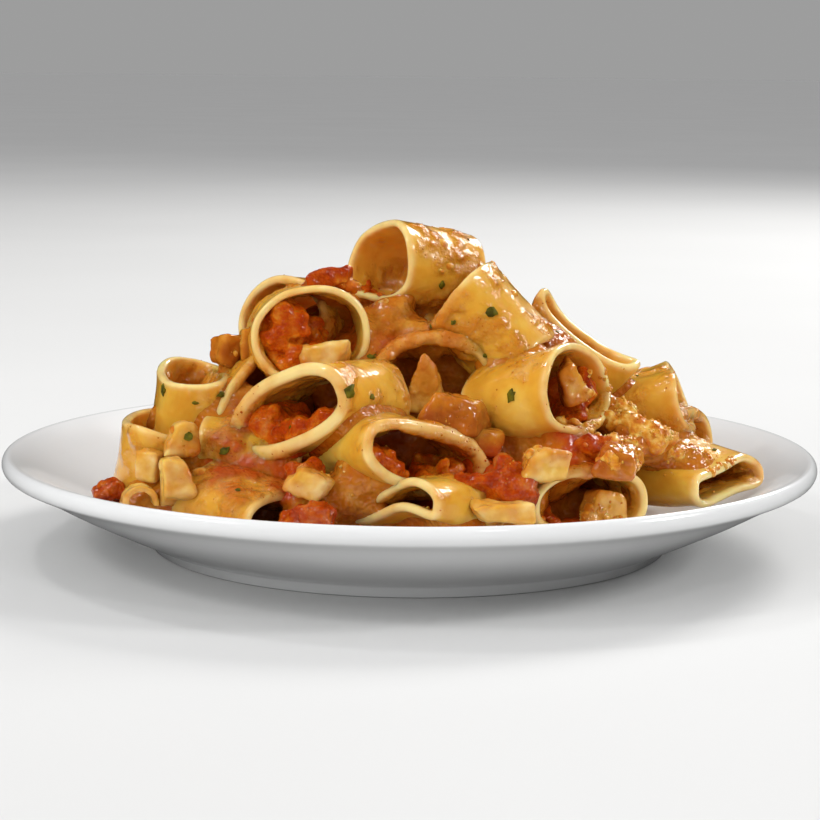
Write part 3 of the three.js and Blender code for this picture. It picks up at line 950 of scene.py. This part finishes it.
def liningBits(lining):
    tube = next(tube for tube in allTubes if tube.name == lining.tube)
    count = lining.bits
    angle = np.radians([random.uniform(*lining.arc) for _ in range(count)])
    t = np.array([random.uniform(*lining.deep) for _ in range(count)])
    share = np.array([random.uniform(0.1, 1) ** 0.7 for _ in range(count)]) * lining.fill
    share *= 0.75 + 0.35 * np.sin(angle * 3 + 1) * np.cos(t * 9)
    wall = wallMiddle(tube, angle, t)
    places = mix(wall, tubeCentre(tube, t), share[:, None])
    return [(at, random.uniform(*lining.size), squashes(0.7, 1.2)) for at in places]


def makePulp():
    shape = pulpShape
    random.seed(5)
    bits = []
    for heap in pulpHeaps:
        body = [s * shape.body for s in heap.spread]
        x, y, z = heap.at
        z = max(z, wellHeight(x, y) + body[2])
        bits.append(((x, y, z), 1, body))
        for _ in range(heap.bits):
            aim = Vector([random.gauss(0, 1) for _ in range(3)]).normalized()
            far = random.uniform(0.7, shape.spill)
            at = [c + a * b * far for c, a, b in zip((x, y, z), aim, body)]
            size = random.uniform(*heap.size)
            at[2] = max(at[2], wellHeight(at[0], at[1]) + size * 0.8)
            bits.append((at, size, squashes(0.7, 1.2)))
    for lining in pulpLinings:
        bits += liningBits(lining)
    skin = skinned(ballsMesh("tomato_pulp", bits), shape)
    return addPulp("tomato_pulp", skin, shape.relief)


# chopped bits in the sauce that cling to what is under them: soft lumps, and grains over them
minceHeaps = table(
    "at spread lumps grains",
    ((62, -40, 50), (11, 9, 12), 45, 240), ((72, -42, 42), (13, 9, 9), 90, 260),
    ((86, -38, 34), (14, 9, 7), 20, 120), ((57, -54, 43), (12, 6, 6), 40, 150),
    ((53, -66, 22), (8, 5, 4), 8, 80), ((60, -68, 37), (9, 5, 4), 14, 120),
    ((34, -74, 38), (6, 5, 4), 6, 50), ((6, -16, 88), (12, 10, 6), 24, 70),
    ((26, -26, 74), (7, 8, 12), 36, 160), ((-16, -30, 82), (8, 5, 4), 10, 40),
    ((-48, -30, 64), (7, 6, 5), 10, 30), ((-24, -74, 34), (8, 5, 6), 6, 40),
    ((10, -82, 28), (9, 4, 5), 6, 40), ((-66, -62, 34), (10, 7, 8), 8, 40),
    ((2, -66, 44), (12, 6, 4), 6, 40), ((10, 30, 62), (30, 26, 14), 60, 220),
    ((0, 56, 36), (50, 14, 12), 60, 220),
)
minceShape = Named(
    lumps=Named(sizes=(0.9, 2.4), sunk=0.72, squash=(0.7, 1.3)),
    grains=Named(sizes=(0.25, 0.85), sunk=0.55, squash=(0.5, 1.4)),
    reach=7,  # how far from a random place there may be food to cling to
    voxel=0.5,
    smoothing=5,
    relief=((2.6, 0.25, 2), (1.1, 0.14, 1)),
    ragged=(0.7, 0.22, 1),
)


def clinging(tree, kind):
    # bits of that kind on the food's upper faces, each sunk into it by its share
    form = minceShape[kind]
    bits = []
    for heap in minceHeaps:
        for _ in range(heap[kind]):
            at = Vector([c + random.gauss(0, 0.5) * s for c, s in zip(heap.at, heap.spread)])
            place, normal, _, _ = tree.find_nearest(at * mm, minceShape.reach * mm)
            size = mix(*form.sizes, random.random() ** 2)
            if place and normal.z > -0.4:
                above = normal * size * (1 - 2 * form.sunk)
                bits.append((place / mm + above, size, squashes(*form.squash)))
    return bits


def addMince(name, mesh, relief):
    roughen(mesh, *relief)
    points = meshPoints(mesh)
    # the painted shade on the mince is half as strong as on the other food
    shelter = shelterAt(mesh, points, meshNormals(mesh)) * 0.5
    addValues(mesh, red=redness(points), shelter=shelter)
    addPiece(name, mesh, mince)


def makeMince(tree):
    shape = minceShape
    random.seed(8)
    paste = skinned(ballsMesh("minced_paste", clinging(tree, "lumps")), shape)
    addMince("minced_paste", paste, shape.relief)
    bits = clinging(tree, "grains")
    onPaste = clinging(treeOf([paste]), "grains")
    grains = ballsMesh("minced_bits", bits[::2] + onPaste[::2], 1)
    addMince("minced_bits", grains, [shape.ragged])


# size along the block's own axes, turn about the upright, lean to the side, taper the top over the base,
# film how much more sauce than on the dough
diceList = table(
    "at size turn lean taper film",
    ((4.5, -44, 54.5), (12, 5, 18), 16, 6, 0.3, -0.4),
    ((12.5, -58, 48), (17, 11, 11), -12, 14, 0.7, 1.4), ((22, -57, 40), (8, 7, 7), 10, 0, 0.92, 0.9),
    ((37, -74, 37), (11.5, 9, 8.5), 15, 10, 0.92, 0.05),
    ((-25.5, -41, 62.5), (16, 9, 9), -15, -12, 0.92, -0.4),
    ((-54.5, -30, 63), (7, 8, 8.5), 30, 15, 0.92, 0.4),
    ((-47, -28, 65.5), (6.5, 7, 8), 10, -10, 0.92, 0.05),
    ((-64, -63, 41.5), (9, 8, 9.5), 20, 10, 0.6, 0.05),
    ((-65.5, -71, 31.5), (7.5, 9, 11), 24, -10, 0.92, 0.05),
    ((-74, -64, 34), (6, 7, 8), -20, 8, 0.92, 0.05), ((26, -84, 25.5), (14, 7, 6), 6, -6, 0.92, 0.05),
    ((-27, -78, 31.5), (11.5, 7, 7), -12, 24, 0.92, 0.05),
    ((46.5, -46, 56), (6, 7, 11.5), 20, -25, 0.92, 0.5), ((55, -61, 23), (10, 9, 8), 30, 10, 0.92, 0.6),
    ((58.5, -68, 37.5), (10, 8, 7), -20, 6, 0.92, 0.7),
)
tomatoList = table(
    "at size turn lean taper",
    ((-85.5, -61, 25.5), (10, 8, 6), 20, -10, 0.92), ((26.5, -73, 34), (7.5, 8, 11.5), 0, 8, 0.92),
    ((-26, -83.5, 23.9), (9, 7, 6), 10, 0, 0.92), ((-24.5, -28, 84.5), (14, 9, 5), 10, -8, 0.92),
)
# knock is how far the corners are off, soft how round the edges are over the least side
diceShape = Named(knock=0.22, soft=0.16, voxel=0.45, smoothing=3, relief=((7, 0.7, 1), (2.4, 0.2, 1)))
tomatoShape = Named(knock=0.2, soft=0.3, voxel=0.45, smoothing=3, relief=((5, 1.0, 2), (2.2, 0.3, 2)))
curlShape = Named(
    at=(-75.5, -71, 24.8), outer=5.2, inner=3.4, depth=6, turn=15, arc=(-10, 190), voxel=0.4, smoothing=3,
    film=-0.2)


def lumpMesh(name, lump, shape):
    # a knife-cut block: corners knocked about, edges rounded, then a skin that can take fine relief
    bm = bmesh.new()
    bmesh.ops.create_cube(bm, size=mm)
    for vert in bm.verts:
        vert.co += Vector([random.uniform(-shape.knock, shape.knock) for _ in range(3)]) * mm
        if vert.co.z > 0:
            vert.co.x *= lump.taper
            vert.co.y *= lump.taper
    bmesh.ops.scale(bm, verts=bm.verts, vec=lump.size)
    roundOff(bm, bm.edges[:], min(lump.size) * shape.soft)
    bmesh.ops.triangulate(bm, faces=bm.faces)
    turnBy(bm, lump.lean, "Y")
    turnBy(bm, lump.turn, "Z")
    bmesh.ops.translate(bm, verts=bm.verts, vec=Vector(lump.at) * mm)
    return skinned(closedMesh(bm, name), shape)


def addSeafood(name, mesh, film, stands):
    points, normals = meshPoints(mesh), meshNormals(mesh)
    shelter = shelterAt(mesh, points, normals)
    amount = sauceAmount(points, normals, shelter) + film
    depth = np.clip(amount, 0, 0.5) + 0.15 * fractalAt(points, 1.8, 2, 3)
    setPoints(mesh, points + normals * depth[:, None])
    addValues(mesh, sauce=amount, red=redness(points), lip=np.zeros(len(points)), shelter=shelter)
    return addPiece(name, mesh, seafood, stands)


def makeLumps():
    random.seed(21)
    pieces = []
    for i, lump in enumerate(diceList, 1):
        name = f"seafood_dice_{i:02d}"
        skin = lumpMesh(name, lump, diceShape)
        roughen(skin, *diceShape.relief)
        pieces.append(addSeafood(name, skin, lump.film, f"chunk_{i:02d}"))
    for i, lump in enumerate(tomatoList, 1):
        name = f"tomato_bit_{i:02d}"
        addPulp(name, lumpMesh(name, lump, tomatoShape), tomatoShape.relief, f"tomato_{i:02d}")
    return pieces


def makeCurl():
    # a strip bent round a lying axis
    shape = curlShape
    first, last = shape.arc
    bm = bmesh.new()
    bmesh.ops.create_grid(bm, x_segments=1, y_segments=1, size=0.5)
    bmesh.ops.scale(bm, verts=bm.verts, vec=((shape.outer - shape.inner) * mm, shape.depth * mm, 1))
    bmesh.ops.translate(bm, verts=bm.verts, vec=((shape.outer + shape.inner) / 2 * mm, 0, 0))
    turnBy(bm, -first, "Y")
    bmesh.ops.spin(
        bm, geom=bm.faces[:] + bm.edges[:] + bm.verts[:], cent=(0, 0, 0), axis=(0, -1, 0),
        angle=math.radians(last - first), steps=20)
    turnBy(bm, shape.turn, "Z")
    bmesh.ops.translate(bm, verts=bm.verts, vec=Vector(shape.at) * mm)
    skin = skinned(closedMesh(bm, "squid_curl"), shape)
    addSeafood("squid_curl", skin, shape.film, "curl")


# fitted to the plate's outline in the photo: metres and degrees, sensor and lens in millimetres
cameraPlace = Named(
    distance=0.7, down=8.61, lookAt=(0, 0, 0.041), lens=99.04, sensor=36, roll=0.55, frame=820)


def makeCamera():
    place = cameraPlace
    down = math.radians(place.down)
    camera = placed("camera", bpy.data.cameras.new("camera"))
    camera.data.lens = place.lens
    camera.data.clip_start = 0.01
    camera.location = Vector(place.lookAt) + Vector((0, -math.cos(down), math.sin(down))) * place.distance
    turn = Matrix.Rotation(math.pi / 2 - down, 3, "X") @ Matrix.Rotation(math.radians(place.roll), 3, "Z")
    camera.rotation_euler = turn.to_euler()
    bpy.context.scene.camera = camera
    return camera.location.copy(), turn


def photoRay(view, x, y):
    # the line of sight through a place in the photo's frame
    half = cameraPlace.frame / 2
    spread = cameraPlace.sensor / 2 / cameraPlace.lens
    aim = Vector(((x - half) / half * spread, (half - y) / half * spread, -1))
    return view[0], view[1] @ aim.normalized()


# flakes of herb by their place in the frame, with their size in millimetres and turn
herbSpots = [
    (350, 393, 4.6, 60), (492, 312, 4.2, -20), (511, 396, 3.8, 70), (225, 451, 3.8, 30),
    (372, 356, 3.2, 0), (188, 437, 3.4, 40), (221, 394, 2.6, 20), (372, 397, 2.2, 0),
    (164, 390, 3.4, 80), (195, 403, 2.0, 0), (238, 490, 1.8, 0), (442, 285, 2.4, 90),
    (656, 444, 2.6, 10), (453, 323, 1.8, 40), (431, 326, 2.0, 0), (290, 427, 1.8, 0),
    (485, 356, 1.6, 0), (637, 376, 1.2, 0),
]
herbShape = Named(
    more=46,  # how often a random place is tried for one more flake
    behind=-30,  # such flakes lie only beyond this line
    sizes=(1.2, 1.6, 2.2, 3.6),
    lift=0.25,
    thick=0.4,
)
crumbShape = Named(tries=7000, most=2200, size=(0.15, 0.45), sunk=0.12)
aimedAt = ((-75, 80), (-75, 70), (10, 60))  # the box in the heap that random rays run to


def leafAt(bm, hit, normal, size, spin):
    # a chopped scrap of leaf with a torn edge, curled a little and thin
    before = set(bm.verts)
    bmesh.ops.create_circle(bm, cap_ends=True, segments=11, radius=0.5)
    scrap = [vert for vert in bm.verts if vert not in before]
    bmesh.ops.poke(bm, faces=list({face for vert in scrap for face in vert.link_faces}))
    scrap = [vert for vert in bm.verts if vert not in before]
    curl = random.uniform(-0.35, 0.35)
    for vert in scrap:
        x, y = vert.co.x, vert.co.y
        tear = random.uniform(0.55, 1.15)
        height = curl * (x * x + y * y) + random.uniform(-0.05, 0.05)
        vert.co = Vector((x * tear, y * tear * (0.75 - 0.5 * abs(x)), height))
    look = Vector(normal).normalized().to_track_quat("Z", "Y").to_matrix().to_4x4()
    place = Matrix.Translation(hit + normal * herbShape.lift * mm) @ look
    place = place @ Matrix.Rotation(spin, 4, "Z") @ Matrix.Scale(size * 1.15 * mm, 4)
    bmesh.ops.transform(bm, matrix=place, verts=scrap)


def randomRay():
    # from a random place round the plate in towards the heap
    bearing, climb = random.uniform(0, math.tau), math.asin(random.uniform(0.02, 1))
    away = Vector((math.cos(climb) * math.cos(bearing), math.cos(climb) * math.sin(bearing), math.sin(climb)))
    aim = Vector([random.uniform(*side) for side in aimedAt]) * mm
    return aim + away * 0.3, -away


def makeHerbs(tree, view):
    shape = herbShape
    random.seed(13)
    bm = bmesh.new()
    for x, y, size, spin in herbSpots:
        hit, normal, _, _ = tree.ray_cast(*photoRay(view, x, y))
        if hit:
            leafAt(bm, hit, normal, size, math.radians(spin))
    for _ in range(shape.more):
        hit, normal, _, _ = tree.ray_cast(*randomRay())
        if hit and hit.y > shape.behind * mm:
            leafAt(bm, hit, normal, random.choice(shape.sizes), random.uniform(0, math.tau))
    bmesh.ops.recalc_face_normals(bm, faces=bm.faces)
    bmesh.ops.solidify(bm, geom=bm.faces[:], thickness=shape.thick * mm)
    addPiece("herb_flakes", meshFrom(bm, "herb_flakes"), herb)


def makeCrumbs(tree):
    # fine bits in the sauce, half sunk in what carries them, more where it is deep
    shape = crumbShape
    random.seed(14)
    hits = [tree.ray_cast(*randomRay()) for _ in range(shape.tries)]
    hits = [hit for hit in hits if hit[0]]
    faces = np.array([hit[1] for hit in hits])
    places = np.array([hit[0] for hit in hits]) / mm - faces * shape.sunk
    amount = sauceAmount(places, faces, 0.3)
    chosen = [place for place, deep in zip(places, amount) if deep > random.uniform(-0.2, 0.8)][:shape.most]
    crumbs = [(at, random.uniform(*shape.size), squashes(0.6, 1.2)) for at in chosen]
    mesh = ballsMesh("sauce_crumbs", crumbs, 1)
    addValues(mesh, red=redness(meshPoints(mesh)), shelter=np.zeros(len(mesh.vertices)))
    addPiece("sauce_crumbs", mesh, sauce)


# the broad lamps don't show as highlights, so they leave no pale veil on the wet food
lamps = table(
    "name kind at size power colour shows",
    ("key", "AREA", (0.95, 1.4, 1.28), 0.7, 24, (1, 0.99, 0.975), True),
    ("side", "AREA", (1.5, -0.3, 0.9), 0.3, 10, (1, 1, 1), True),
    ("sky", "SUN", (-0.3, 0.1, 2), 1.6, 1.0, (1, 1, 1), False),
    ("left_window", "AREA", (-2.2, -1.8, 1.05), 2.6, 43, (1, 1, 1), False),
    ("front_fill", "AREA", (0.3, -2.6, 0.3), 2.0, 12, (1, 1, 1), False),
    ("glint_top", "AREA", (-0.4, 0.2, 0.7), 0.08, 0.8, (1, 1, 1), True),
    ("glint_left", "AREA", (-1.0, -0.55, 0.95), 0.18, 2.6, (1, 1, 1), True),
    ("glint_front", "AREA", (0.45, -0.9, 1.1), 0.12, 1.2, (1, 1, 1), True),
)
# the world is pale at the horizon and darker overhead: the height of the line of sight, and the colour
worldStops = ((0.03, (0.338, 0.338, 0.338)), (0.35, (0.20, 0.20, 0.205)))


def makeLights():
    for lamp in lamps:
        light = bpy.data.lights.new(lamp.name, lamp.kind)
        light.energy = lamp.power
        light.color = lamp.colour
        if lamp.kind == "SUN":
            light.angle = lamp.size
        else:
            light.size = lamp.size
        holder = placed(lamp.name, light)
        holder.location = lamp.at
        holder.visible_glossy = lamp.shows
        aim = Vector((0, 0, 0.04)) - holder.location  # at the middle of the heap
        holder.rotation_euler = aim.to_track_quat("-Z", "Y").to_euler()
    sky = Look("studio", "World", "Background")
    place = sky.add("TexCoord").outputs["Generated"]
    height = sky.add("SeparateXYZ", {0: place}).outputs["Z"]
    sky.surface({0: sky.ramp(height, *worldStops)})
    bpy.context.scene.world = sky.data
    sky.data.cycles_visibility.glossy = False
    bpy.context.scene.view_settings.view_transform = "Standard"


def makeFloor():
    bm = bmesh.new()
    bmesh.ops.create_grid(bm, x_segments=1, y_segments=1, size=40)  # metres, so that its edge is far off
    mesh = meshFrom(bm, "floor")
    mesh.materials.append(floorMaterial())
    floor = placed("floor", mesh)
    floor.visible_glossy = False


cameraView = makeCamera()
makeLights()
makeFloor()
makePlate()
tubePieces = makePaccheri()
bedPiece = makeSauceBed(treeOf([piece.data for piece in tubePieces]))
pulpPiece = makePulp()
lumpPieces = makeLumps()
makeCurl()
carriers = treeOf([piece.data for piece in tubePieces + [bedPiece, pulpPiece] + lumpPieces])
makeMince(carriers)
makeHerbs(carriers, cameraView)
makeCrumbs(carriers)
